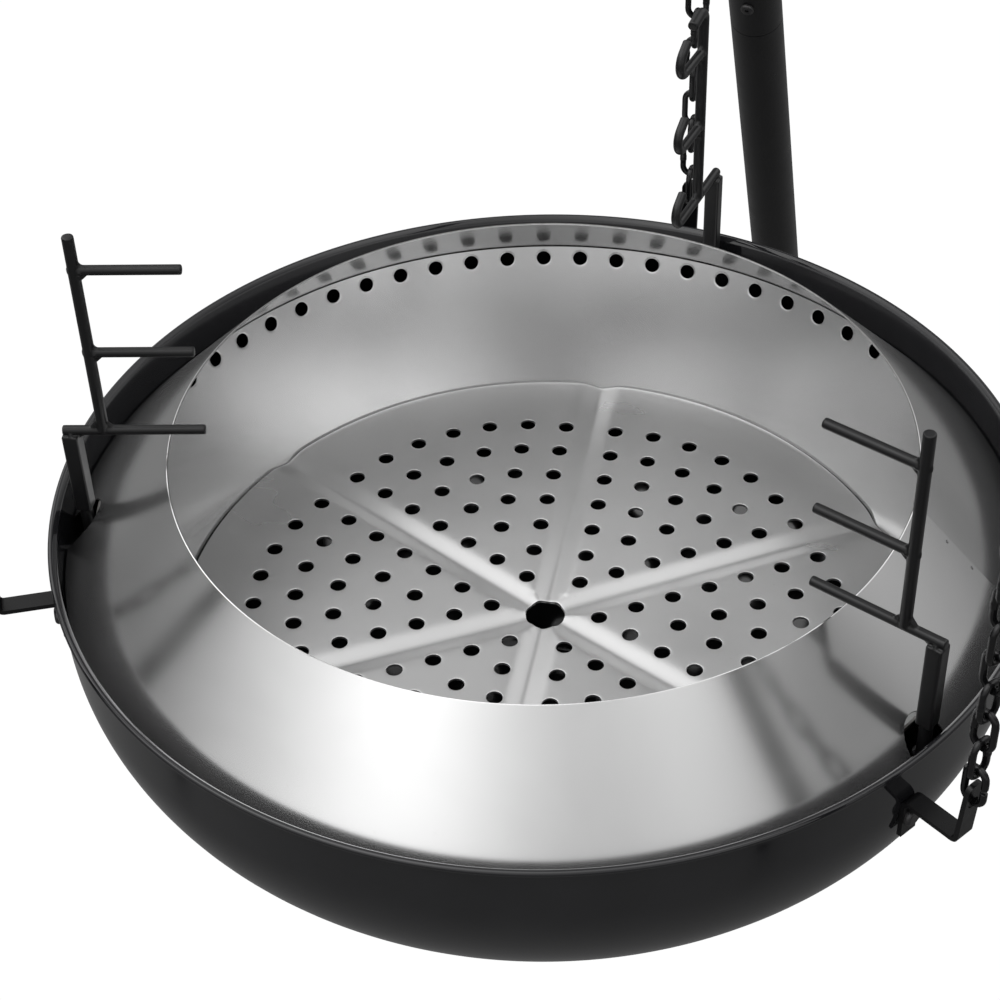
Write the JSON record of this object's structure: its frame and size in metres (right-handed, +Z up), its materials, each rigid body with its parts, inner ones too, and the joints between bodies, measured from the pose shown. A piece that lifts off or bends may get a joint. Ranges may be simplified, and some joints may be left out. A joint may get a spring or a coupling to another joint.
{
  "type": "hanging fire pit with grate",
  "caption": "Round fire bowl hung by chains from a tube tripod, with a stainless cover ring, a perforated fire wall, a grate and peg holders for a cooking grid.",
  "frame": {"origin": "middle of the footprint box of the three feet, on the ground; the bowl and tripod axis stands 0.2 m towards -Y from it", "axes": "+Z up along the tripod axis; +Y towards the rear leg; +X to the right when looking at the two front legs from the front"},
  "size_m": [1.4416, 1.256, 1.847],
  "materials": {
    "stand_coat": "black powder coat, satin",
    "rubber_boot": "matt moulded rubber",
    "fixings": "black zinc, satin",
    "bracket_coat": "black powder coat, satin",
    "chain_coat": "black coated steel, semi-gloss",
    "enamel": "black vitreous enamel, gloss",
    "stainless": "rolled stainless sheet, soft mirror",
    "grate_steel": "rolled stainless sheet, satin",
    "holder_coat": "black heat-proof paint, matt"
  },
  "bodies": {
    "tripod": {"leg_lower_left": "stand_coat", "leg_middle_left": "stand_coat", "leg_upper_left": "stand_coat", "foot_boot_left": "rubber_boot", "chain_eye_left": "fixings", "leg_lower_right": "stand_coat", "leg_middle_right": "stand_coat", "leg_upper_right": "stand_coat", "foot_boot_right": "rubber_boot", "chain_eye_right": "fixings", "leg_lower_rear": "stand_coat", "leg_middle_rear": "stand_coat", "leg_upper_rear": "stand_coat", "foot_boot_rear": "rubber_boot", "chain_eye_rear": "fixings", "leg_screws": "fixings", "chain_eye_nuts": "fixings", "stand_head": "stand_coat"},
    "bowl": {"fire_bowl": "enamel", "bracket_bolts": "fixings", "bracket_nuts": "fixings", "chain_bracket_left": "bracket_coat", "chain_bracket_right": "bracket_coat", "chain_bracket_rear": "bracket_coat", "post_socket_left": "enamel", "post_socket_right": "enamel", "post_socket_rear": "enamel"},
    "insert": {"cover_ring": "stainless", "fire_wall": "stainless"},
    "grate": {"grate": "grate_steel"},
    "left_top_link": {"chain_first_link_left": "chain_coat"},
    "left_chain": {"chain_left": "chain_coat"},
    "left_end_link": {"chain_end_link_left": "chain_coat"},
    "holder_left": {"holder_post_left": "holder_coat", "holder_upright_left": "holder_coat", "holder_pegs_left": "holder_coat"},
    "right_top_link": {"chain_first_link_right": "chain_coat"},
    "right_chain": {"chain_right": "chain_coat"},
    "right_end_link": {"chain_end_link_right": "chain_coat"},
    "holder_right": {"holder_post_right": "holder_coat", "holder_upright_right": "holder_coat", "holder_pegs_right": "holder_coat"},
    "rear_top_link": {"chain_first_link_rear": "chain_coat"},
    "rear_chain": {"chain_rear": "chain_coat"},
    "rear_end_link": {"chain_end_link_rear": "chain_coat"},
    "holder_rear": {"holder_post_rear": "holder_coat", "holder_upright_rear": "holder_coat", "holder_pegs_rear": "holder_coat"}
  },
  "joints": [
    {"name": "sway_fore_aft", "type": "hinge", "parent": "tripod", "child": "rear_top_link", "pos_m": [0, 0.1365, 0.9762], "axis": [1, 0, 0], "range_deg": [-10, 10]},
    {"name": "sway_sideways", "type": "hinge", "parent": "rear_top_link", "child": "rear_chain", "pos_m": [0, 0.1365, 0.9564], "axis": [0, 1, 0], "range_deg": [-10, 10]},
    {"name": "rear_end_link_swivel", "type": "hinge", "parent": "rear_chain", "child": "rear_end_link", "pos_m": [0, 0.1365, 0.6252], "axis": [0, 1, 0], "range_deg": [-10, 10]},
    {"name": "bowl_hang", "type": "hinge", "parent": "rear_end_link", "child": "bowl", "pos_m": [0, 0.1365, 0.6045], "axis": [1, 0, 0], "range_deg": [-10, 10]},
    {"name": "left_chain_fore_aft", "type": "hinge", "parent": "tripod", "child": "left_top_link", "pos_m": [-0.29142, -0.36825, 0.9762], "axis": [1, 0, 0], "range_deg": [-10, 10]},
    {"name": "left_chain_sideways", "type": "hinge", "parent": "left_top_link", "child": "left_chain", "pos_m": [-0.29142, -0.36825, 0.9564], "axis": [0, 1, 0], "range_deg": [-10, 10]},
    {"name": "left_end_link_swivel", "type": "hinge", "parent": "left_chain", "child": "left_end_link", "pos_m": [-0.29142, -0.36825, 0.6252], "axis": [0, 1, 0], "range_deg": [-10, 10]},
    {"name": "right_chain_fore_aft", "type": "hinge", "parent": "tripod", "child": "right_top_link", "pos_m": [0.29142, -0.36825, 0.9762], "axis": [1, 0, 0], "range_deg": [-10, 10]},
    {"name": "right_chain_sideways", "type": "hinge", "parent": "right_top_link", "child": "right_chain", "pos_m": [0.29142, -0.36825, 0.9564], "axis": [0, 1, 0], "range_deg": [-10, 10]},
    {"name": "right_end_link_swivel", "type": "hinge", "parent": "right_chain", "child": "right_end_link", "pos_m": [0.29142, -0.36825, 0.6252], "axis": [0, 1, 0], "range_deg": [-10, 10]},
    {"name": "insert_lift", "type": "slide", "parent": "bowl", "child": "insert", "axis": [0, 0, 1], "range_m": [0, 0.0045]},
    {"name": "grate_lift", "type": "slide", "parent": "insert", "child": "grate", "axis": [0, 0, 1], "range_m": [0, 0.12]},
    {"name": "holder_left_lift_off", "type": "slide", "parent": "bowl", "child": "holder_left", "axis": [0, 0, 1], "range_m": [0, 0.12]},
    {"name": "holder_right_lift_off", "type": "slide", "parent": "bowl", "child": "holder_right", "axis": [0, 0, 1], "range_m": [0, 0.12]},
    {"name": "holder_rear_lift_off", "type": "slide", "parent": "bowl", "child": "holder_rear", "axis": [0, 0, 1], "range_m": [0, 0.12]}
  ],
  "couplings": [
    {"joint": "rear_end_link_swivel", "follows": "sway_sideways", "ratio": -1},
    {"joint": "bowl_hang", "follows": "sway_fore_aft", "ratio": -1},
    {"joint": "left_chain_fore_aft", "follows": "sway_fore_aft", "ratio": 1},
    {"joint": "left_chain_sideways", "follows": "sway_sideways", "ratio": 1},
    {"joint": "left_end_link_swivel", "follows": "sway_sideways", "ratio": -1},
    {"joint": "right_chain_fore_aft", "follows": "sway_fore_aft", "ratio": 1},
    {"joint": "right_chain_sideways", "follows": "sway_sideways", "ratio": 1},
    {"joint": "right_end_link_swivel", "follows": "sway_sideways", "ratio": -1}
  ]
}
